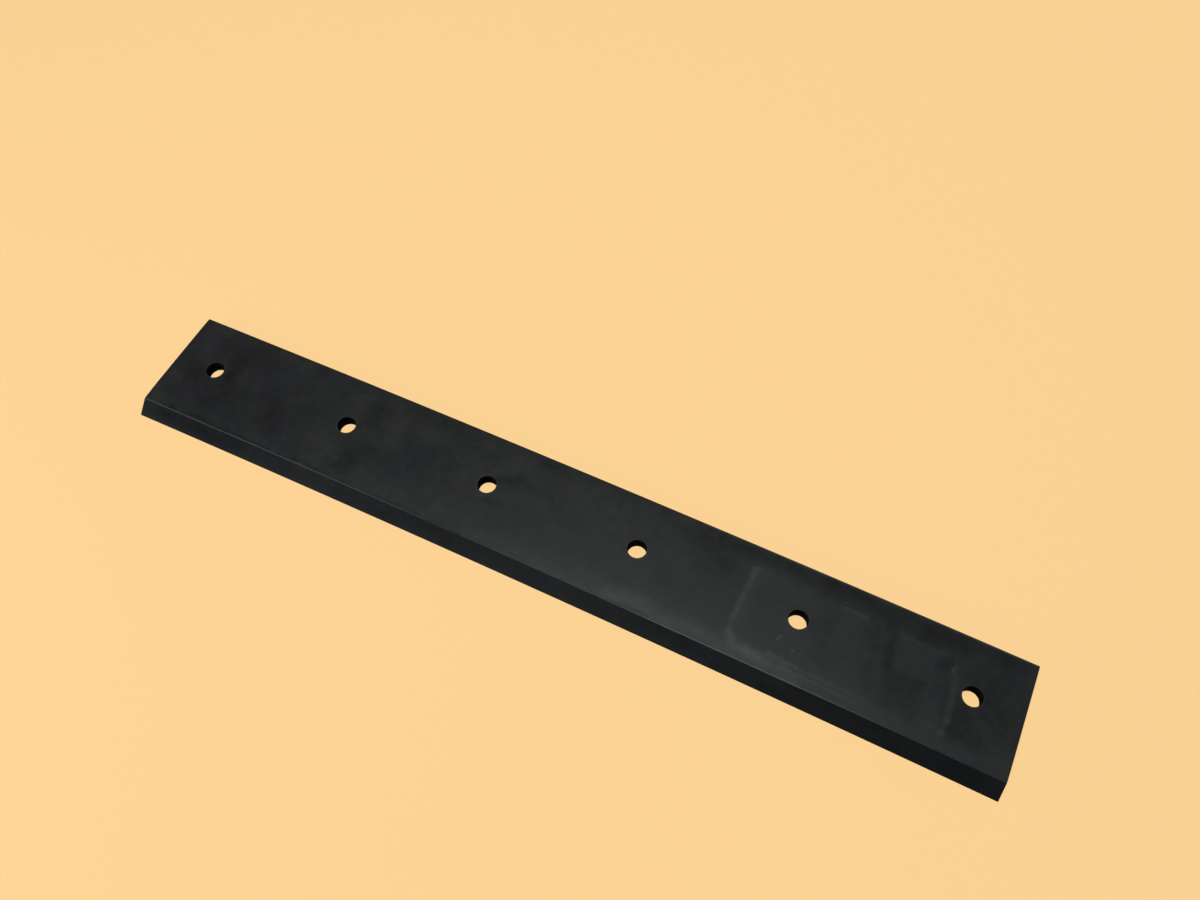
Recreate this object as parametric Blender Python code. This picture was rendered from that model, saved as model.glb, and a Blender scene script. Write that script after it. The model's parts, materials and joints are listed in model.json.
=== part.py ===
"""A wash-up blade for a small printing press: a flat strip of black rubber, screwed to the
wash-up tray, whose bevelled long edge scrapes loosened ink off a turning roller.

The strip is one solid. It lies on its flat side with the bevel up. X runs along the strip,
Y from the knife edge to the back edge, and Z up. The origin is the middle of the underside.
"""

import math

import bmesh
import bpy
from mathutils import Matrix, Vector

# Driving sizes, in metres
LENGTH = 0.390
WIDTH = 0.0545  # knife edge to back edge, at any place along the strip
THICKNESS = 0.006
BEVEL_RUN = 0.006  # knife edge to fold, seen from above
KNIFE_LAND = 0.0003  # height of the blunt face that grinding leaves at the knife edge
FOLD_RADIUS = 0.0005  # where the bevel meets the top face
BACK_EDGE_RADIUS = 0.0003  # where the back edge meets the top face
HOLE_DIAMETER = 0.008
HOLE_SETBACK = 0.023  # back edge to the line of holes
END_MARGIN = 0.020  # end face to the centre of the hole nearest to it
HOLE_COUNT = 6
EDGE_BOW = 0.0015  # rise of the long edges over a straight line between their ends

# Facets
BOW_STRETCHES = 28  # straight stretches that follow the bow along the strip
CORNER_STEPS = 3
HOLE_SIDES = 48
CUT_OVERRUN = 0.002  # how far the hole cutters stand past both faces

# Finish: matte black rubber, in linear colour
RUBBER_COLOUR = (0.019, 0.020, 0.021, 1.0)
RUBBER_ROUGHNESS = 0.62


def clear_scene():
    for thing in list(bpy.data.objects):
        bpy.data.objects.remove(thing, do_unlink=True)


def bow_at(x):
    """Sideways set of the strip at x. It is a parabola, half of it on each side of the
    centre line, so that the bowed strip stays centred over its origin."""
    return EDGE_BOW * (0.5 - (2 * x / LENGTH) ** 2)


def rounded_corner(before, corner, after, radius):
    """Points of the arc that touches both sides of a corner, in walking order."""
    towards_before = (before - corner).normalized()
    towards_after = (after - corner).normalized()
    half_angle = towards_before.angle(towards_after) / 2
    reach = radius / math.tan(half_angle)
    inwards = (towards_before + towards_after).normalized()
    centre = corner + inwards * radius / math.sin(half_angle)
    first = corner + towards_before * reach - centre
    last = corner + towards_after * reach - centre
    first_angle = math.atan2(first.y, first.x)
    turn = math.remainder(math.atan2(last.y, last.x) - first_angle, math.tau)
    angles = [first_angle + turn * step / CORNER_STEPS for step in range(CORNER_STEPS + 1)]
    return [centre + Vector((math.cos(a), math.sin(a))) * radius for a in angles]


def cross_section():
    """Outline across the strip as (y, z): along the underside to the back edge, over the
    top face to the fold, and down the bevel to the knife edge."""
    knife_bottom = Vector((-WIDTH / 2, 0))
    knife_top = Vector((-WIDTH / 2, KNIFE_LAND))
    fold = Vector((-WIDTH / 2 + BEVEL_RUN, THICKNESS))
    back_top = Vector((WIDTH / 2, THICKNESS))
    back_bottom = Vector((WIDTH / 2, 0))
    return [
        knife_bottom,
        back_bottom,
        *rounded_corner(back_bottom, back_top, fold, BACK_EDGE_RADIUS),
        *rounded_corner(back_top, fold, knife_top, FOLD_RADIUS),
        knife_top,
    ]


def strip_mesh():
    """The cross-section carried along X through one ring of points at each station."""
    outline = cross_section()
    strip = bmesh.new()
    rings = []
    for station in range(BOW_STRETCHES + 1):
        x = LENGTH * (station / BOW_STRETCHES - 0.5)
        rings.append([strip.verts.new((x, y + bow_at(x), z)) for y, z in outline])
    strip.faces.new(rings[0])
    strip.faces.new(rings[-1])
    for ring, next_ring in zip(rings, rings[1:]):
        for side in range(len(outline)):
            strip.faces.new((ring[side - 1], ring[side], next_ring[side], next_ring[side - 1]))
    bmesh.ops.recalc_face_normals(strip, faces=strip.faces)
    mesh = bpy.data.meshes.new("wash_up_blade")
    strip.to_mesh(mesh)
    strip.free()
    return mesh


def hole_centres():
    """(x, y) of each screw hole: evenly spaced between the end margins, on a line that
    keeps its setback from the bowed back edge."""
    first_x = -LENGTH / 2 + END_MARGIN
    pitch = (LENGTH - 2 * END_MARGIN) / (HOLE_COUNT - 1)
    for number in range(HOLE_COUNT):
        x = first_x + number * pitch
        yield x, WIDTH / 2 - HOLE_SETBACK + bow_at(x)


def hole_cutter():
    """One upright cylinder for each screw hole, longer than the strip is thick."""
    drills = bmesh.new()
    for x, y in hole_centres():
        bmesh.ops.create_cone(
            drills,
            cap_ends=True,
            segments=HOLE_SIDES,
            radius1=HOLE_DIAMETER / 2,
            radius2=HOLE_DIAMETER / 2,
            depth=THICKNESS + 2 * CUT_OVERRUN,
            matrix=Matrix.Translation((x, y, THICKNESS / 2)),
        )
    mesh = bpy.data.meshes.new("hole_cutter")
    drills.to_mesh(mesh)
    drills.free()
    mesh.shade_smooth()
    cutter = bpy.data.objects.new("hole_cutter", mesh)
    cutter.hide_render = True
    cutter.display_type = "WIRE"
    bpy.context.scene.collection.objects.link(cutter)
    return cutter


def black_rubber():
    material = bpy.data.materials.new("black_rubber")
    material.use_nodes = True
    shader = material.node_tree.nodes["Principled BSDF"]
    shader.inputs["Base Color"].default_value = RUBBER_COLOUR
    shader.inputs["Roughness"].default_value = RUBBER_ROUGHNESS
    shader.inputs["Metallic"].default_value = 0.0
    return material


def wash_up_blade():
    blade = bpy.data.objects.new("wash_up_blade", strip_mesh())
    blade.data.materials.append(black_rubber())
    bpy.context.scene.collection.objects.link(blade)
    holes = blade.modifiers.new("screw_holes", "BOOLEAN")
    holes.operation = "DIFFERENCE"
    holes.solver = "EXACT"
    holes.object = hole_cutter()


clear_scene()
wash_up_blade()
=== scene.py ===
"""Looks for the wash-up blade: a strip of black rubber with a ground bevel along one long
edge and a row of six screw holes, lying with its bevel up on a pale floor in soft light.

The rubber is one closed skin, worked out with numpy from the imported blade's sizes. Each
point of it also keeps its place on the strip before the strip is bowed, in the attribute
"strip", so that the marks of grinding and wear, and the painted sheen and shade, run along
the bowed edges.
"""

import json
import math

import bpy
import numpy as np
from mathutils import Matrix, Vector

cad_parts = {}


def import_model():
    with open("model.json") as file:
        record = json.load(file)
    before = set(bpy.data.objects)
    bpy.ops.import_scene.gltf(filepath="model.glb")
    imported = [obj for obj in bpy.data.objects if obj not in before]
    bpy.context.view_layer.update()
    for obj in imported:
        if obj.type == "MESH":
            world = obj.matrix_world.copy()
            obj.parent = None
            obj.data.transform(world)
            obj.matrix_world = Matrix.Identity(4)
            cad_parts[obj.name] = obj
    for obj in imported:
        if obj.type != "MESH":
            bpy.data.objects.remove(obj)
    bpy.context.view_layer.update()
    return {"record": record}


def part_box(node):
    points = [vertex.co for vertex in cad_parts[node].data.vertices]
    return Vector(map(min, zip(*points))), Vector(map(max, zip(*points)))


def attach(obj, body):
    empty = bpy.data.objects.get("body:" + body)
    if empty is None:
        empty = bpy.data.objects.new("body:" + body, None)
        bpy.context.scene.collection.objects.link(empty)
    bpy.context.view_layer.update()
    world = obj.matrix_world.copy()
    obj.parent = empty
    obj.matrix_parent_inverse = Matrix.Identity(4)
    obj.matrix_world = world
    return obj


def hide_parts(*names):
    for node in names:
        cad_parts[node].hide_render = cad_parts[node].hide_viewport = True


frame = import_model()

MM = 0.001

# Sizes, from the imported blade
LOW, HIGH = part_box("wash_up_blade")
LENGTH = HIGH.x - LOW.x
THICKNESS = HIGH.z - LOW.z
EDGE_BOW = 1.5 * MM  # rise of the long edges over a straight line between their ends
WIDTH = HIGH.y - LOW.y - EDGE_BOW
BEVEL_RUN = 6 * MM
KNIFE_LAND = 0.3 * MM
FOLD_RADIUS = 0.5 * MM
BACK_RADIUS = 0.3 * MM
HOLE_RADIUS = 4 * MM
HOLE_PLACES = [
    [(a + b) / 2 for a, b in zip(*opening["box_m"])][:2]
    for opening in frame["record"]["physics"]["openings"]
]
HOLE_PITCH = HOLE_PLACES[1][0] - HOLE_PLACES[0][0]
HOLE_LINE = WIDTH / 2 - 23 * MM  # across the strip, before the bow
KNIFE_Y = -WIDTH / 2
FOLD_Y = KNIFE_Y + BEVEL_RUN
BACK_Y = WIDTH / 2

# Small forms that the rubber has beside its main shape
END_ROUND = 0.12 * MM  # where the guillotine has drawn the ends' rims in
RIM_ROUND = 0.1 * MM  # at the mouth of each bore
LIP_HEIGHT = 0.035 * MM  # rubber pushed up round each bore by the drill
LIP_SPREAD = 0.9 * MM
LIP_MARGIN = 0.002 * MM  # between the lip's top and the strip's full thickness
FOLD_FALL, FOLD_FALL_RUN = 0.4 * MM, 12 * MM  # the face rolls down towards the fold
BACK_FALL, BACK_FALL_RUN = 0.2 * MM, 9 * MM  # and a little towards the back edge
RIPPLE = 0.012 * MM
RIPPLE_WAVES, RIPPLE_LENGTHS = 9, (26, 70)  # lengths in millimetres

# Mesh
PITCH = 1.25 * MM
CELL = 16  # grid steps along each side of the square of skin round a bore
HALF_CELL = CELL * PITCH / 2
CLOSE_ROW = 0.12 * MM  # rows beside a sharp turn, which keep flat faces flat in shading
FOLD_STEPS, BACK_STEPS, END_STEPS, RIM_STEPS = 6, 4, 3, 4
WALL_STEPS = 6
SHARP_TURN = math.radians(35)

# Faces of the strip, and the finish of each
MOULDED, SEAT, GROUND, CUT, BORED = range(5)


def bow_at(x):
    """Sideways set of the strip at x: a parabola, half of it each side of the centre line."""
    return EDGE_BOW * (0.5 - (2 * x / LENGTH) ** 2)


def ripple_at(x, v):
    """Faint unevenness of moulded rubber: a sum of sine waves that cross at odd angles, each
    with its own length and phase, brought between 0 and RIPPLE."""
    dice = np.random.default_rng(11)
    total = np.zeros(np.broadcast(x, v).shape)
    for _ in range(RIPPLE_WAVES):
        turn, phase = dice.uniform(0, math.pi), dice.uniform(0, math.tau)
        wave = dice.uniform(*RIPPLE_LENGTHS) * MM
        total += np.sin((x * math.cos(turn) + v * math.sin(turn)) * math.tau / wave + phase)
    return RIPPLE * np.clip(0.5 + total / RIPPLE_WAVES, 0, 1)


def fall_at(x, v):
    """How far the upper face lies below the strip's full thickness: a parabola towards the
    fold, another towards the back edge, and the ripple. Round each bore a lip stands up
    almost to full thickness, a bell curve of the distance to the rim."""
    to_fold = np.clip((FOLD_Y + FOLD_FALL_RUN - v) / FOLD_FALL_RUN, 0, 1)
    to_back = np.clip((v - BACK_Y + BACK_FALL_RUN) / BACK_FALL_RUN, 0, 1)
    fall = FOLD_FALL * to_fold**2 + BACK_FALL * to_back**2 + ripple_at(x, v)
    lip = np.zeros_like(fall)
    for hole_x, _ in HOLE_PLACES:
        reach = np.hypot(x - hole_x, v - HOLE_LINE) - HOLE_RADIUS
        lip = np.maximum(lip, np.exp(-((np.maximum(reach, 0) / LIP_SPREAD) ** 2)))
    return (fall + LIP_HEIGHT) * (1 - lip) + LIP_MARGIN * lip


def laid(x, v, z, sideways=None):
    """Place of strip points (x, v, z) in the frame, and the strip points themselves: v is
    moved sideways by the bow, and z is lowered by its share of the upper face's fall."""
    x, v, z = np.broadcast_arrays(x, v, z)
    y = v + (bow_at(x) if sideways is None else sideways)
    settled = z * (1 - fall_at(x, v) / THICKNESS)
    return np.stack([x, y, settled], -1), np.stack([x, v, z], -1)


def steps(start, stop, tight_start=False, tight_stop=False):
    """Even steps of about PITCH from start to stop, with a close row beside a tight end."""
    count = max(1, round(abs(stop - start) / PITCH))
    line = np.linspace(start, stop, count + 1)
    towards = math.copysign(CLOSE_ROW, stop - start)
    if tight_start:
        line = np.insert(line, 1, start + towards)
    if tight_stop:
        line = np.insert(line, -1, stop - towards)
    return line


def arc(before, corner, after, radius, count):
    """Points of the arc that touches both sides of a corner of the cross-section: between
    its two ends, each weighed by the sine of the angle left to the other."""
    before, corner, after = (np.array(p, float) for p in (before, corner, after))
    one = (before - corner) / np.linalg.norm(before - corner)
    two = (after - corner) / np.linalg.norm(after - corner)
    half = math.acos(np.clip(one @ two, -1, 1)) / 2
    middle = (one + two) / np.linalg.norm(one + two)
    centre = corner + middle * radius / math.sin(half)
    first = corner + one * radius / math.tan(half) - centre
    last = corner + two * radius / math.tan(half) - centre
    span = math.acos(np.clip(first @ last / radius**2, -1, 1))
    share = np.linspace(0, 1, count + 1)[:, None]
    swept = np.sin((1 - share) * span) * first + np.sin(share * span) * last
    return centre + swept / math.sin(span)


def upper_outline():
    """(v, z) of the strip's upper side, from the top of the knife land up the bevel, round
    the fold, over the face and round the back edge, and the finish of each stretch."""
    land = (KNIFE_Y, KNIFE_LAND)
    fold = (FOLD_Y, THICKNESS)
    back = (BACK_Y, THICKNESS)
    fold_arc = arc(land, fold, back, FOLD_RADIUS, FOLD_STEPS)
    back_arc = arc(fold, back, (BACK_Y, 0), BACK_RADIUS, BACK_STEPS)
    share = (steps(KNIFE_Y, fold_arc[0, 0], True, True) - KNIFE_Y) / (fold_arc[0, 0] - KNIFE_Y)
    bevel = np.array(land) + share[:, None] * (fold_arc[0] - np.array(land))
    near, far = HOLE_LINE - HALF_CELL, HOLE_LINE + HALF_CELL
    face = np.concatenate(
        [
            steps(fold_arc[-1, 0], near, True)[1:-1],
            np.linspace(near, far, CELL + 1),
            steps(far, back_arc[0, 0], False, True)[1:-1],
        ]
    )
    face = np.stack([face, np.full_like(face, THICKNESS)], -1)
    outline = np.concatenate([bevel[:-1], fold_arc, face, back_arc])
    finish = np.full(len(outline) - 1, MOULDED)
    finish[: len(bevel) - 1] = GROUND
    return outline, finish


def stations():
    """Places along the strip, and how far its section is drawn in at each: even steps that
    meet the squares round the bores, and a quarter round at each end."""
    edges = sorted(x + side * HALF_CELL for x, _ in HOLE_PLACES for side in (-1, 1))
    stop = LENGTH / 2 - END_ROUND
    line = [steps(-stop, edges[0], True)]
    line += [steps(a, b)[1:] for a, b in zip(edges, edges[1:])]
    line += [steps(edges[-1], stop, False, True)[1:]]
    line = np.concatenate(line)
    turn = np.linspace(0, math.pi / 2, END_STEPS + 1)[1:]
    x = np.concatenate(
        [-(stop + END_ROUND * np.sin(turn))[::-1], line, stop + END_ROUND * np.sin(turn)]
    )
    drawn_in = END_ROUND * (1 - np.cos(turn))
    return x, np.concatenate([drawn_in[::-1], np.zeros_like(line), drawn_in])


def drawn(v, z, inset):
    """Section points moved towards the middle of the section, in proportion to their distance
    from it, so that the outermost ones move by the inset."""
    middle = THICKNESS / 2
    return v * (1 - inset / (WIDTH / 2)), middle + (z - middle) * (1 - inset / middle)


class Skin:
    """Grids of points that are sewn into one closed mesh."""

    def __init__(self):
        self.places, self.strip, self.quads, self.finish, self.count = [], [], [], [], 0

    def add(self, points, finish, keep=None, closed=False):
        """A grid of points, (rows, columns), whose faces look along (next row - this row)
        cross (next column - this column). closed joins the last column to the first."""
        place, strip = points
        rows, columns = place.shape[:2]
        number = np.arange(rows * columns).reshape(rows, columns) + self.count
        beside = np.roll(number, -1, 1) if closed else number[:, 1:]
        here = number if closed else number[:, :-1]
        quads = np.stack([here[:-1], here[1:], beside[1:], beside[:-1]], -1)
        finish = np.broadcast_to(finish, quads.shape[:2])
        if keep is not None:
            quads, finish = quads[keep], finish[keep]
        self.places.append(place.reshape(-1, 3))
        self.strip.append(strip.reshape(-1, 3))
        self.quads.append(quads.reshape(-1, 4))
        self.finish.append(finish.reshape(-1))
        self.count += rows * columns

    def sewn(self):
        """Points that share a place, to a tenth of a micrometre, become one point, and
        points that no face uses go."""
        place = np.concatenate(self.places)
        strip = np.concatenate(self.strip)
        quads = np.concatenate(self.quads)
        finish = np.concatenate(self.finish)
        _, first, same = np.unique(
            np.round(place / 1e-7).astype(np.int64), axis=0, return_index=True, return_inverse=True
        )
        quads = same.reshape(-1)[quads]
        used, number = np.unique(quads, return_inverse=True)
        return place[first[used]], strip[first[used]], number.reshape(quads.shape), finish


def square_of_skin(x, v):
    """True for grid faces inside the square round a bore, by the faces' middles."""
    inside = np.zeros(np.broadcast(x, v).shape, bool)
    for hole_x, _ in HOLE_PLACES:
        inside |= (abs(x - hole_x) < HALF_CELL) & (abs(v - HOLE_LINE) < HALF_CELL)
    return inside


def add_long_faces(skin):
    """The upper outline, the underside, the back wall and the knife land, each carried along
    the strip through the stations and drawn in at the ends, and the two end faces."""
    outline, finish = upper_outline()
    x, inset = stations()
    v, z = drawn(outline[None, :, 0], outline[None, :, 1], inset[:, None])
    upper = laid(x[:, None], v, z)
    middle_x = (x[1:] + x[:-1])[:, None] / 2
    middle_v = (outline[1:, 0] + outline[:-1, 0])[None, :] / 2
    solid = ~square_of_skin(middle_x, middle_v)
    skin.add(upper, finish[None, :], solid)

    v_low, z_low = drawn(outline[:, 0, None], 0.0, inset[None, :])
    skin.add(laid(x[None, :], v_low, z_low + 0 * v_low), SEAT, solid.T)

    rise = np.linspace(0, 1, WALL_STEPS + 1)
    v_back, z_back = drawn(BACK_Y, rise[:, None] * outline[-1, 1], inset[None, :])
    skin.add(laid(x[None, :], v_back, z_back), CUT)
    v_land, z_land = drawn(KNIFE_Y, rise[None, :] * KNIFE_LAND, inset[:, None])
    skin.add(laid(x[:, None], v_land, z_land), GROUND)

    level = rise[None, :] * outline[:, 1, None]
    v_end, z_end = drawn(outline[:, 0, None], level, END_ROUND)
    skin.add(laid(x[-1], v_end, z_end), CUT)
    skin.add(laid(x[0], v_end.T, z_end.T), CUT)


def add_bore(skin, hole_x):
    """One bore, as a profile carried round it: from the square on the underside in to the
    rim, round it, up the wall, round the upper rim and out to the square on the face. Each
    ring changes evenly from a circle at the rim into the square, whose points are the
    skin's own."""
    around = np.arange(4 * CELL) * math.tau / (4 * CELL)
    circle = np.stack([np.cos(around), np.sin(around)], -1)
    side = np.arange(4 * CELL) / (CELL / 2)
    # A walk round the square from the middle of its right side: a triangle wave, cut off
    wave = [np.clip(2 - abs((side + shift) % 8 - 4), -1, 1) for shift in (4, 2)]
    square = np.stack(wave, -1) * HALF_CELL

    mouth = HOLE_RADIUS + RIM_ROUND
    turn = np.linspace(0, math.pi / 2, RIM_STEPS + 1)
    spread = np.array([0, CLOSE_ROW, 0.35 * MM, 0.7 * MM, 1.1 * MM, 1.6 * MM, 2.3 * MM, 3.2 * MM])
    out = np.append(spread / (HALF_CELL - mouth), 1.0)
    rim_radius = HOLE_RADIUS + RIM_ROUND * (1 - np.cos(turn))
    rim_height = THICKNESS - RIM_ROUND * (1 - np.sin(turn))
    wall = np.linspace(RIM_ROUND, THICKNESS - RIM_ROUND, WALL_STEPS + 2)[1:-1]
    radius = np.concatenate([rim_radius, np.full_like(out[1:], mouth)])
    height = np.concatenate([rim_height, np.full_like(out[1:], THICKNESS)])
    share = np.concatenate([np.zeros_like(rim_radius), out[1:]])
    radius = np.concatenate([radius[::-1], np.full_like(wall, HOLE_RADIUS), radius])
    height = np.concatenate([THICKNESS - height[::-1], wall, height])
    share = np.concatenate([share[::-1], np.zeros_like(wall), share])

    offset = circle * radius[:, None, None]
    offset = offset + (square - offset) * share[:, None, None]
    x = hole_x + offset[..., 0]
    v = HOLE_LINE + offset[..., 1]
    sideways = bow_at(hole_x) + (bow_at(x) - bow_at(hole_x)) * share[:, None]
    points = laid(x, v, height[:, None] + 0 * x, sideways)
    finish = np.where(height[1:] < THICKNESS / 2, SEAT, MOULDED)
    finish[(share[1:] == 0) & (share[:-1] == 0)] = BORED
    skin.add(points, finish[:, None], closed=True)


def rubber_strip(materials):
    """The blade's skin as an object: the grids sewn together, smooth but for its sharp turns."""
    skin = Skin()
    add_long_faces(skin)
    for hole_x, _ in HOLE_PLACES:
        add_bore(skin, hole_x)
    place, strip, quads, finish = skin.sewn()
    mesh = bpy.data.meshes.new("rubber_strip")
    mesh.from_pydata(place.tolist(), [], quads.tolist())
    mesh.attributes.new("strip", "FLOAT_VECTOR", "POINT").data.foreach_set(
        "vector", strip.astype(np.float32).ravel()
    )
    for material in materials:
        mesh.materials.append(material)
    mesh.polygons.foreach_set("material_index", finish.astype(np.int32))
    mesh.shade_smooth()
    mesh.set_sharp_from_angle(angle=SHARP_TURN)
    mesh.update()
    piece = bpy.data.objects.new("rubber_strip", mesh)
    bpy.context.scene.collection.objects.link(piece)
    return piece


# Node helpers


def node(tree, kind, wires=None, **settings):
    """A shader node, its settings, and what each named input gets: a number, or a socket."""
    made = tree.nodes.new("ShaderNode" + kind)
    for name, value in settings.items():
        setattr(made, name, value)
    for name, value in (wires or {}).items():
        if isinstance(value, bpy.types.NodeSocket):
            tree.links.new(value, made.inputs[name])
        else:
            made.inputs[name].default_value = value
    return made


def sums(tree, operation, *values):
    """One step of arithmetic on numbers."""
    return node(tree, "Math", dict(enumerate(values)), operation=operation).outputs[0]


def vectors(tree, operation, *values):
    """One step of arithmetic on vectors."""
    made = node(tree, "VectorMath", dict(enumerate(values)), operation=operation)
    a_number = operation in ("LENGTH", "DISTANCE", "DOT_PRODUCT")
    return made.outputs["Value" if a_number else "Vector"]


def slope(tree, value, low, high, to_low=0.0, to_high=1.0):
    """A smooth change from to_low to to_high as value goes from low to high."""
    wires = {"Value": value, "From Min": low, "From Max": high, "To Min": to_low, "To Max": to_high}
    return node(tree, "MapRange", wires, interpolation_type="SMOOTHSTEP").outputs["Result"]


def blend(tree, share, first, second):
    """A colour that goes from first to second as share goes from 0 to 1."""
    return node(tree, "Mix", {0: share, 6: first, 7: second}, data_type="RGBA").outputs[2]


def noise(tree, at, size, detail=3.0, roughness=0.55):
    """Noise whose patches are about size millimetres long, across and high."""
    sizes = size if isinstance(size, tuple) else (size, size, size)
    placed = vectors(tree, "DIVIDE", at, sizes)
    wires = {"Vector": placed, "Scale": 1.0, "Detail": detail, "Roughness": roughness}
    return node(tree, "TexNoise", wires).outputs


def clouds(tree, at, size, depth, detail=3.0):
    """Noise between -depth and depth."""
    return slope(tree, noise(tree, at, size, detail)["Fac"], 0.28, 0.72, -depth, depth)


def strayed(tree, at, size, reach):
    """The places themselves, moved about by noise, so that what is drawn there is ragged."""
    push = vectors(tree, "SUBTRACT", noise(tree, at, size)["Color"], (0.5, 0.5, 0.5))
    return vectors(tree, "MULTIPLY_ADD", push, (4 * reach, 4 * reach, 0), at)


def mark(tree, at, start, end, core, reach, depth):
    """A mark along the line from start to end: depth as far as core from the line, and
    fading to nothing at reach. The nearest point of the line is as far along it, between
    its ends, as the place itself is."""
    start, end = Vector((*start, 0)), Vector((*end, 0))
    line = end - start
    place = vectors(tree, "SUBTRACT", at, start)
    share = vectors(tree, "DOT_PRODUCT", place, line / line.length_squared)
    share = node(tree, "Clamp", {0: share}).outputs[0]
    nearest = node(tree, "VectorMath", {0: line, "Scale": share}, operation="SCALE").outputs[0]
    return slope(tree, vectors(tree, "DISTANCE", place, nearest), core, reach, depth, 0)


def patch(tree, at, low, high, soft, depth):
    """A mark that fills the rectangle between two corners, with soft edges."""
    middle = ((low[0] + high[0]) / 2, (low[1] + high[1]) / 2, 0)
    half = ((high[0] - low[0]) / 2, (high[1] - low[1]) / 2, 0)
    folded = vectors(tree, "ABSOLUTE", vectors(tree, "SUBTRACT", at, middle))
    past = vectors(tree, "SUBTRACT", folded, half)
    past_x = vectors(tree, "DOT_PRODUCT", past, (1, 0, 0))
    past_y = vectors(tree, "DOT_PRODUCT", past, (0, 1, 0))
    return slope(tree, sums(tree, "MAXIMUM", past_x, past_y), -soft, soft, depth, 0)


def total(tree, whole, parts):
    """The sum of whole and the parts. Where there are many, parts is a generator, so that each
    is added as soon as it is made: the renderer can hold only some of them at a time. For the
    same reason marks and patches use no node that changes one kind of value into another."""
    for part in parts:
        whole = sums(tree, "ADD", part, whole)
    return whole


def cloudy(tree, at, *layers):
    """1 and the layers of clouds, each (size, depth, ...), added to it."""
    return total(tree, 1.0, (clouds(tree, at, *layer) for layer in layers))


# Rubber: its colours, and the marks on the upper face and the bevel. A mark is (start, end,
# core, reach, depth): where it runs, in millimetres along and across the strip, how wide it
# is, and by which share it makes the rubber lighter or darker. A patch is (low corner, high
# corner, soft, depth).

MOULDED_GREEN = (0.0112, 0.0123, 0.0115, 1)
MOULDED_BLUE = (0.0113, 0.0119, 0.0134, 1)
GROUND_GREY = (0.0096, 0.0105, 0.0107, 1)
GROUND_BLUE = (0.0092, 0.0102, 0.0116, 1)
CUT_GREY = (0.0115, 0.0121, 0.0124)
# The bore walls' colour, darker than the rest of the rubber: painted shade in the bores
BORE_SHADE_BLACK = (0.0052, 0.0056, 0.0058)

# Darker and paler blotches on the face: partly the rubber's own mottling, and partly painted light,
# painted shade along the back edge and painted sheen near the fold
BLOTCHES_AND_PAINTED_LIGHT = [
    ((-168, 11), (-166, 5), 0, 6, -0.3),
    ((-183, -2), (-173, -6), 0, 9, -0.28),
    ((-168, 1), (-163, -1), 0, 6, -0.2),
    ((-172, -12), (-158, -13), 0, 7, -0.16),
    ((-176, 20), (-150, 16), 0, 11, -0.22),
    ((-143, 3), (-136, -8), 0, 12, -0.3),
    ((-129, 24), (-123, 22), 0, 7, -0.25),
    ((-191, 14), (-188, 9), 0, 6, -0.12),
    ((-99, -15), (-95, -9), 0, 7, -0.28),
    ((-95, -2), (-88, -3), 0, 7, -0.25),
    ((-66, 5), (-60, 3), 0, 6, -0.2),
    ((-60, -13), (-55, -14), 0, 6, -0.25),
    ((-96, -15), (-92, -17), 0, 5, -0.25),
    ((-63, 10), (-53, 6), 0, 7, -0.2),
    ((-98, 17), (-91, 9), 0, 8, -0.3),
    ((-75, 4), (-67, -6), 0, 14, -0.3),
    ((-85, 23.5), (-60, 23), 0, 6, -0.12),
    ((-56, 18), (-48, 17), 0, 8, -0.2),
    ((-30, 10), (-22, 12), 0, 5, -0.4),
    ((-16, 24), (-11, 24), 0, 5, -0.35),
    ((-46, -19), (-34, -19), 0, 4, -0.25),
    ((58, 22), (68, 12), 0, 13, -0.45),
    ((52, -3), (62, -8), 0, 10, -0.2),
    # These five darken the face along the back edge: painted shade
    ((66, 23.5), (108, 23.5), 0, 6, -0.36),
    ((110, 22), (165, 21), 0, 7, -0.35),
    ((113, 24.5), (130, 24), 0, 6, -0.22),
    ((142, 24), (158, 22), 0, 8, -0.18),
    ((165, 24), (190, 24), 0, 7, -0.25),
    ((163, 13), (161.5, 10), 0, 4, -0.4),
    ((136, -2), (138, -12), 0, 6, -0.25),
    ((146, -17), (153, -17), 0, 5, -0.25),
    ((172, -1), (171, -12), 0, 8, -0.4),
    ((173, -12), (180, -13), 0, 7, -0.35),
    ((180, 10), (184, 2), 0, 11, -0.2),
    ((113, 4), (116, -5), 0, 9, -0.24),
    ((-193, -15), (-190, -19.5), 0, 9, 0.15),
    ((-112, -11), (-109, -19), 0, 8, 0.15),
    ((-88, 12), (-82, 5), 0, 8, 0.2),
    ((-66, -9), (-60, -10), 0, 8, 0.2),
    ((5, 16), (20, 6), 0, 16, 0.15),
    ((192, 10), (192, -10), 0, 6, 0.1),
    ((130, 6), (134, 2), 0, 5, 0.25),
    # These two lighten the face near the fold: painted sheen
    ((22, -16), (48, -13), 0, 9, 0.18),
    ((188, -16), (192, -19), 0, 8, 0.14),
    ((44, 27), (56, 26), 0, 5, 0.22),
    ((-96, -11), (-84, -9), 0, 7, -0.12),
]
# Painted sheen on the face near the fold, a painted dark line between it and the fold, and painted
# shade towards both ends
PAINTED_SHEEN_AND_SHADE = [
    ((-185, -20.4), (60, -20.4), 0.3, 1.8, -0.4),
    ((-182, 0), (-132, 0), 6, 28, -0.1),
    ((0, -18), (150, -18.5), 0, 9, 0.3),
    ((32, -18.4), (112, -18.4), 0, 6, 1.05),
    ((120, 8), (178, 4), 0, 18, -0.15),
]
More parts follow.
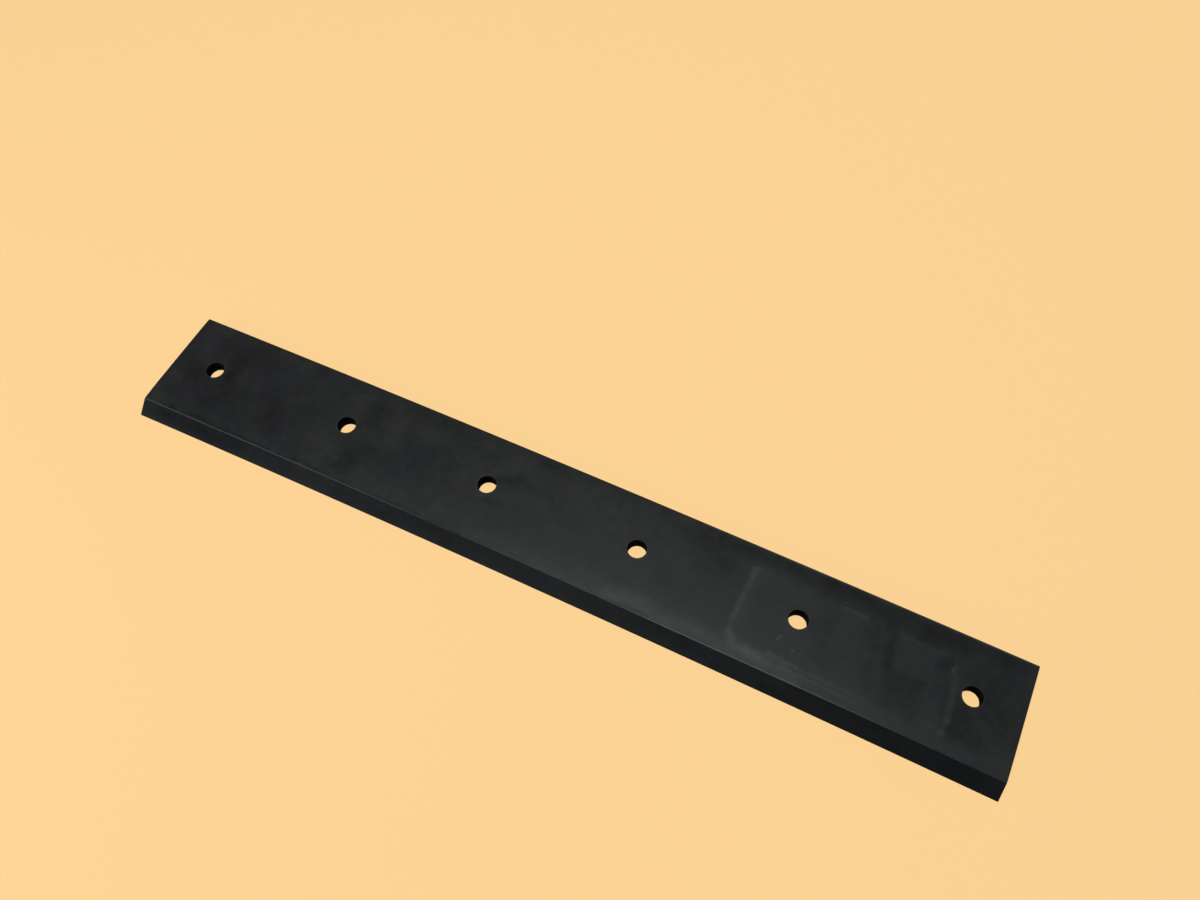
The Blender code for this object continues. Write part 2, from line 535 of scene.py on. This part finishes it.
# The outline that a label left, and lines of its glue
LABEL_GHOST = [
    ((81.2, -6), (82.1, 17), 0.4, 1.9, 0.85),
    ((81.2, -6), (82.2, -13), 0.3, 1.9, 0.9),
    ((82.6, -12), (83.8, 16), 0.4, 4.4, 0.35),
    ((82.3, -13.2), (83.2, -14), 0.8, 3.4, 0.7),
    ((85, -15.6), (99, -17), 0, 3.6, 0.8),
    ((91, -16.5), (96, -17.5), 0.6, 3, 0.4),
    ((99, -13.8), (111, -14.2), 0.3, 1.4, 0.9),
    ((108, -14.6), (138, -15.2), 0.2, 1.3, 0.5),
    ((104, -17), (136, -17.4), 0.2, 1.3, 0.5),
    ((84, 17.6), (88, 18.2), 0.5, 2.6, 0.5),
    ((118.5, 16.9), (129.5, 16.6), 0.25, 1, 0.6),
    ((143.5, 16.2), (162.5, 15.8), 0.3, 1.5, 0.3),
    ((166.4, 13), (167.8, 3), 0.3, 1.7, 0.35),
    ((167.9, 3), (168.6, -9), 0.3, 2.0, 0.6),
    ((168.6, -9), (168.0, -15), 0.3, 1.9, 0.6),
    ((163, -13), (168, -15), 0, 2.8, 0.25),
    ((139.5, 17), (142, 1), 0.6, 3.6, -0.35),
    ((134, 15), (134.5, -2), 0.4, 3.4, -0.2),
]
# What the label kept clean, or its glue left dull
LABEL_PATCHES = [
    ((83, -13), (117, 16), 3, 0.15),
    ((118.3, -1), (129.4, 17), 0.9, 0.22),
    ((119, -14), (134, -3), 2.5, 0.15),
    ((142.5, -15), (157.5, 1), 2.0, -0.4),
    ((144, 1.5), (159.5, 16), 1.0, 0.15),
]
# Nicks and specks, two dark streaks, and a painted highlight along the back edge's round
SCUFFS_AND_EDGE_HIGHLIGHT = [
    ((100.5, -7.0), (100.9, -5.8), 0.2, 0.75, 2.0),
    ((100.8, -5.0), (101.8, -4.7), 0.1, 0.5, 0.9),
    ((103.3, -5.1), (103.4, -4.6), 0.1, 0.4, 0.6),
    ((107.2, -8.8), (107.5, -8.6), 0.15, 0.6, 2.0),
    ((110.2, -8.9), (110.6, -8.6), 0.1, 0.5, 0.5),
    ((119.4, 19.0), (119.8, 19.1), 0.15, 0.6, 1.4),
    ((117.8, 18.4), (118.6, 18.2), 0.1, 0.5, 0.7),
    ((164.9, 11.6), (165.8, 10.2), 0.2, 0.7, 1.3),
    ((164.0, 9.0), (164.3, 8.7), 0.1, 0.5, 0.9),
    ((162.0, 5.0), (163.0, 4.6), 0.1, 0.5, 1.0),
    ((166.0, 12.8), (166.5, 12), 0.1, 0.6, 0.8),
    ((-32.6, -2.7), (-25.6, -2.4), 0, 1.6, -0.35),
    ((-18.1, 10.6), (-6.9, 9.8), 0, 2.2, -0.3),
    # A pale line painted along the back edge's round: a painted highlight
    ((55, 26.95), (194, 26.95), 0.35, 0.75, 1.3),
]
BEVEL_MARKS = [
    ((-182, -23), (-145, -24), 1, 7, -0.32),
    ((-195, -27), (80, -27), 0, 3, 0.25),
    ((-112, -23), (-98, -23), 0, 6, 0.22),
    ((-34, -24), (60, -25), 0, 6, 0.16),
    ((76, -24), (96, -25), 0, 6, 0.2),
    # Painted shade: the bevel darkened towards its right end
    ((120, -24), (195, -24), 0, 20, -0.15),
]


def new_rubber(name, roughness, specular):
    """A material, and the places on the strip that it is drawn on, in millimetres."""
    material = bpy.data.materials.new(name)
    material.use_nodes = True
    tree = material.node_tree
    shader = tree.nodes["Principled BSDF"]
    shader.inputs["Roughness"].default_value = roughness
    shader.inputs["Specular IOR Level"].default_value = specular
    strip = node(tree, "Attribute", attribute_name="strip").outputs["Vector"]
    at = vectors(tree, "MULTIPLY", strip, (1000, 1000, 1000))
    return material, tree, shader, at


def finish_rubber(tree, shader, colour, tone, dents):
    """Wires up the colour times the tone, and the dents: (height, depth in millimetres)."""
    brighter = node(tree, "VectorMath", {0: colour, "Scale": tone}, operation="SCALE").outputs[0]
    tree.links.new(brighter, shader.inputs["Base Color"])
    normal = None
    for height, depth in dents:
        wires = {"Height": height, "Strength": 1.0, "Distance": depth * MM}
        if normal is not None:
            wires["Normal"] = normal
        normal = node(tree, "Bump", wires).outputs[0]
    tree.links.new(normal, shader.inputs["Normal"])


def upper_face():
    """The moulded face with the bevel: cloudy and blotched, with painted sheen and shade, and the
    ghost of a label.
    """
    material, tree, shader, at = new_rubber("moulded_upper_face", 0.42, 0.16)
    flat = vectors(tree, "MULTIPLY", at, (1, 1, 0))
    soft = strayed(tree, flat, 9, 2.0)
    crisp = strayed(tree, flat, 3, 0.22)
    blotches_and_painted_light = total(tree, 0.0, (mark(tree, soft, *facts) for facts in BLOTCHES_AND_PAINTED_LIGHT))
    uneven = slope(tree, noise(tree, flat, 5, 4)["Fac"], 0.3, 0.7, 0.5, 1.5)
    label = total(tree, 0.0, (mark(tree, crisp, *facts) for facts in LABEL_GHOST))
    label = total(tree, label, (patch(tree, crisp, *facts) for facts in LABEL_PATCHES))
    rubbed = slope(tree, noise(tree, flat, 4, 5, 0.65)["Fac"], 0.3, 0.7, 0.55, 1.45)
    tone = cloudy(tree, flat, (30, 0.07), (10, 0.13), (3.2, 0.13, 4), (0.7, 0.09))
    tone = sums(tree, "MULTIPLY_ADD", blotches_and_painted_light, uneven, tone)
    tone = sums(tree, "MULTIPLY_ADD", label, rubbed, tone)
    tone = total(tree, tone, (mark(tree, crisp, *facts) for facts in SCUFFS_AND_EDGE_HIGHLIGHT))
    # painted sheen near the fold, and painted shade towards the ends
    tone = total(tree, tone, (mark(tree, soft, *facts) for facts in PAINTED_SHEEN_AND_SHADE))
    split = node(tree, "SeparateXYZ", {0: at}).outputs

    # A pale ring painted round each bore's mouth, on the rubber pushed up there: a painted
    # highlight on the lip
    half = HOLE_PITCH / MM / 2
    to_hole = sums(tree, "WRAP", sums(tree, "SUBTRACT", split[0], half), half, -half)
    across = sums(tree, "SUBTRACT", split[1], HOLE_LINE / MM)
    away = vectors(tree, "LENGTH", node(tree, "CombineXYZ", {0: to_hole, 1: across}).outputs[0])
    rim = slope(tree, away, HOLE_RADIUS / MM + 0.2, HOLE_RADIUS / MM + 1.1, 0.3, 0)
    tone = sums(tree, "ADD", tone, rim)

    # A pale line painted along the fold near the left end and right of the middle: a painted
    # highlight on the fold's edge
    off_fold = sums(tree, "ABSOLUTE", sums(tree, "SUBTRACT", split[1], FOLD_Y / MM + 0.15))
    line = slope(tree, off_fold, 0.1, 0.3, 1, 0)
    left = slope(tree, split[0], -85, -42, 1.6, 0)
    right = slope(tree, split[0], 34, 60, 0, 4.0)
    right = sums(tree, "MULTIPLY", right, slope(tree, split[0], 100, 175, 1, 0))
    tone = sums(tree, "MULTIPLY_ADD", line, sums(tree, "ADD", left, right), tone)
    tone = sums(tree, "MAXIMUM", tone, 0.3)

    # Darker places are bluer, and the ends are painted bluer still, the cool tint of their shade
    bluer = sums(tree, "MULTIPLY_ADD", tone, -0.5, noise(tree, flat, 30)["Fac"])
    ends = slope(tree, sums(tree, "ABSOLUTE", split[0]), 90, 160, 0, 0.12)
    bluer = sums(tree, "ADD", bluer, ends)
    colour = blend(tree, slope(tree, bluer, -0.1, 0.2), MOULDED_GREEN, MOULDED_BLUE)
    dull = slope(tree, tone, 0.6, 1.6, 0.38, 0.5)
    tree.links.new(dull, shader.inputs["Roughness"])
    dents = [(noise(tree, at, 5)["Fac"], 0.05), (noise(tree, at, 0.35, 2)["Fac"], 0.02)]
    finish_rubber(tree, shader, colour, tone, dents)
    return material


def seat_face():
    """The flat underside, moulded too, and rubbed along its length where it is clamped."""
    material, tree, shader, at = new_rubber("moulded_underside", 0.45, 0.16)
    tone = cloudy(tree, at, (30, 0.12), (7, 0.1), ((40, 0.8, 1), 0.1), (0.5, 0.05))
    tint = slope(tree, noise(tree, at, 30)["Fac"], 0.35, 0.65)
    dents = [(noise(tree, at, 5)["Fac"], 0.05), (noise(tree, at, 0.35, 2)["Fac"], 0.02)]
    finish_rubber(tree, shader, blend(tree, tint, MOULDED_GREEN, MOULDED_BLUE), tone, dents)
    return material


def ground_bevel():
    """The bevel, ground along the strip: fine lines and broad clouds, dull and bluish."""
    material, tree, shader, at = new_rubber("ground_bevel", 0.8, 0.05)
    flat = vectors(tree, "MULTIPLY", at, (1, 1, 0))
    soft = strayed(tree, flat, 6, 1.0)
    grinding = [((24, 6, 6), 0.12), (3, 0.07), ((30, 0.25, 0.25), 0.13), ((7, 0.1, 0.1), 0.08)]
    tone = cloudy(tree, at, *grinding)
    tone = total(tree, tone, (mark(tree, soft, *facts) for facts in BEVEL_MARKS))
    tint = slope(tree, noise(tree, flat, 26)["Fac"], 0.35, 0.65)
    lines = noise(tree, at, (20, 0.2, 0.2))["Fac"]
    dents = [(lines, 0.02), (noise(tree, at, 0.3, 2)["Fac"], 0.02)]
    finish_rubber(tree, shader, blend(tree, tint, GROUND_GREY, GROUND_BLUE), tone, dents)
    return material


def cut_faces():
    """The back and the ends, cut with a blade: lines that keep to one height."""
    material, tree, shader, at = new_rubber("cut_faces", 0.65, 0.06)
    cuts = [(14, 0.12), ((40, 40, 0.3), 0.14), ((5, 5, 0.12), 0.08), (0.4, 0.05)]
    tone = cloudy(tree, at, *cuts)
    lines = noise(tree, at, (30, 30, 0.25))["Fac"]
    dents = [(lines, 0.03), (noise(tree, at, 0.3, 2)["Fac"], 0.015)]
    finish_rubber(tree, shader, CUT_GREY, tone, dents)
    return material


def bored_walls():
    """The bores, torn by the drill: rings at slightly uneven heights, and painted dark, as shade in
    the bores.
    """
    material, tree, shader, at = new_rubber("bored_walls", 0.9, 0.01)
    rings = noise(tree, strayed(tree, at, 3, 0.2), (6, 6, 0.3))["Fac"]
    tone = sums(tree, "ADD", cloudy(tree, at, (1.5, 0.2)), slope(tree, rings, 0.3, 0.7, -0.3, 0.3))
    dents = [(rings, 0.08), (noise(tree, at, 0.3, 2)["Fac"], 0.03)]
    finish_rubber(tree, shader, BORE_SHADE_BLACK, tone, dents)
    return material


# Stage, light and camera

FLOOR_SEEN = (0.974, 0.651, 0.301, 1)
FLOOR_BOUNCE = (0.5, 0.49, 0.48, 1)
FLOOR_LIT_SHARE = 0.08
FLOOR_HALF = 30.0
FLOOR_DEPTH = 0.02 * MM  # under the strip
FAR_LOSS = 0.88  # share of the lamps' light that the floor a long way off goes without
WORLD_LEVEL = (0.114, 0.118, 0.128, 1)
HORIZON = (0.3, 0.6)  # height at which the floor's colour starts to fade, and has faded


def rays_that_see(tree):
    """1 for rays from the camera, and for gloss and glass, and 0 for light that bounces."""
    path = node(tree, "LightPath").outputs
    seen = sums(tree, "MAXIMUM", path["Is Camera Ray"], path["Is Glossy Ray"])
    return sums(tree, "MAXIMUM", seen, path["Is Transmission Ray"])


def floor():
    """A pale floor that mostly glows in its own colour, so that it is even, and is lit for
    the rest, so that it keeps the strip's shadow."""
    material = bpy.data.materials.new("pale_floor")
    material.use_nodes = True
    tree = material.node_tree
    tree.nodes.remove(tree.nodes["Principled BSDF"])
    seen = rays_that_see(tree)
    colour = blend(tree, seen, FLOOR_BOUNCE, FLOOR_SEEN)
    lit = node(tree, "BsdfDiffuse", {"Color": colour}).outputs[0]
    glow = node(tree, "Emission", {"Color": FLOOR_SEEN, "Strength": 1.0}).outputs[0]
    share = sums(tree, "MULTIPLY", seen, 1 - FLOOR_LIT_SHARE)
    mixed = node(tree, "MixShader", {0: share, 1: lit, 2: glow}).outputs[0]
    tree.links.new(mixed, tree.nodes["Material Output"].inputs["Surface"])
    mesh = bpy.data.meshes.new("floor")
    corners = np.array([(-1, -1), (1, -1), (1, 1), (-1, 1)]) * FLOOR_HALF
    depth = LOW.z - FLOOR_DEPTH
    mesh.from_pydata([(x, y, depth) for x, y in corners.tolist()], [], [(0, 1, 2, 3)])
    mesh.materials.append(material)
    piece = bpy.data.objects.new("floor", mesh)
    bpy.context.scene.collection.objects.link(piece)


def world(level):
    """Even, dim light from all round. Near the horizon the camera sees the same colour as
    that of the floor a long way off, where only this light reaches it."""
    made = bpy.data.worlds.new("studio")
    bpy.context.scene.world = made
    made.use_nodes = True
    tree = made.node_tree
    towards = node(tree, "TexCoord").outputs["Generated"]
    rise = node(tree, "SeparateXYZ", {0: towards}).outputs[2]
    horizon = sums(tree, "MULTIPLY", rays_that_see(tree), slope(tree, rise, *HORIZON, 1, 0))
    far_floor = [part * (1 - FAR_LOSS * FLOOR_LIT_SHARE) for part in FLOOR_SEEN[:3]]
    colour = blend(tree, horizon, level, (*far_floor, 1))
    ground = tree.nodes["Background"]
    tree.links.new(colour, ground.inputs["Color"])
    ground.inputs["Strength"].default_value = 1.0


def softbox(name, place, size, level, colour=(1, 1, 1)):
    """A flat lamp that looks at the blade's middle. level is the brightness that it gives a
    white floor there: power = level * pi^2 * distance^2 / cosine of its height angle."""
    place = Vector(place)
    lamp = bpy.data.lights.new(name, "AREA")
    lamp.shape = "RECTANGLE"
    lamp.size, lamp.size_y = size
    lamp.color = colour
    lamp.energy = level * math.pi**2 * place.length_squared / place.normalized().z
    piece = bpy.data.objects.new(name, lamp)
    piece.location = place
    piece.rotation_mode = "QUATERNION"
    piece.rotation_quaternion = place.to_track_quat("Z", "Y")
    piece.visible_camera = False
    bpy.context.scene.collection.objects.link(piece)


def camera():
    """The photograph's viewpoint, found by fitting a pinhole camera to the strip's outline."""
    look = (CAMERA_AIM - CAMERA_PLACE).normalized()
    right = look.cross(Vector((0, 0, 1))).normalized()
    up = right.cross(look)
    right, up = (
        right * math.cos(CAMERA_ROLL) - up * math.sin(CAMERA_ROLL),
        up * math.cos(CAMERA_ROLL) + right * math.sin(CAMERA_ROLL),
    )
    data = bpy.data.cameras.new("camera")
    data.sensor_width = 36
    data.lens = CAMERA_LENS
    data.clip_start, data.clip_end = 0.01, 100
    piece = bpy.data.objects.new("camera", data)
    turned = Matrix((right, up, -look)).transposed().to_4x4()
    piece.matrix_world = Matrix.Translation(CAMERA_PLACE) @ turned
    bpy.context.scene.collection.objects.link(piece)
    bpy.context.scene.camera = piece


CAMERA_PLACE = Vector((0.1040, -0.1602, 0.3975))
CAMERA_AIM = Vector((0.00103, 0.04051, 0.0060))
CAMERA_ROLL = math.radians(1.655)
CAMERA_LENS = 31.46
LAMPS = {
    "overhead": dict(
        place=(-0.04, 0.05, 1.0), size=(0.55, 0.3), level=0.46, colour=(0.95, 1, 0.97)
    ),
    "overhead_left": dict(
        place=(-0.14, 0.0, 1.0), size=(0.3, 0.3), level=0.20, colour=(0.95, 1, 0.97)
    ),
    "front_left": dict(
        place=(-0.36, -0.36, 0.22), size=(0.3, 0.2), level=0.24, colour=(0.95, 0.98, 1.06)
    ),
    "back_left": dict(place=(-1.1, 1.0, 1.0), size=(1.0, 0.8), level=0.01),
    "back_low": dict(place=(0.5, 1.0, 0.3), size=(0.8, 0.3), level=0.05),
}

strip = rubber_strip([upper_face(), seat_face(), ground_bevel(), cut_faces(), bored_walls()])
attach(strip, "root")
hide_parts("wash_up_blade")
floor()
world(WORLD_LEVEL)
for name, facts in LAMPS.items():
    softbox(name, **facts)
camera()
bpy.context.scene.view_settings.view_transform = "Standard"
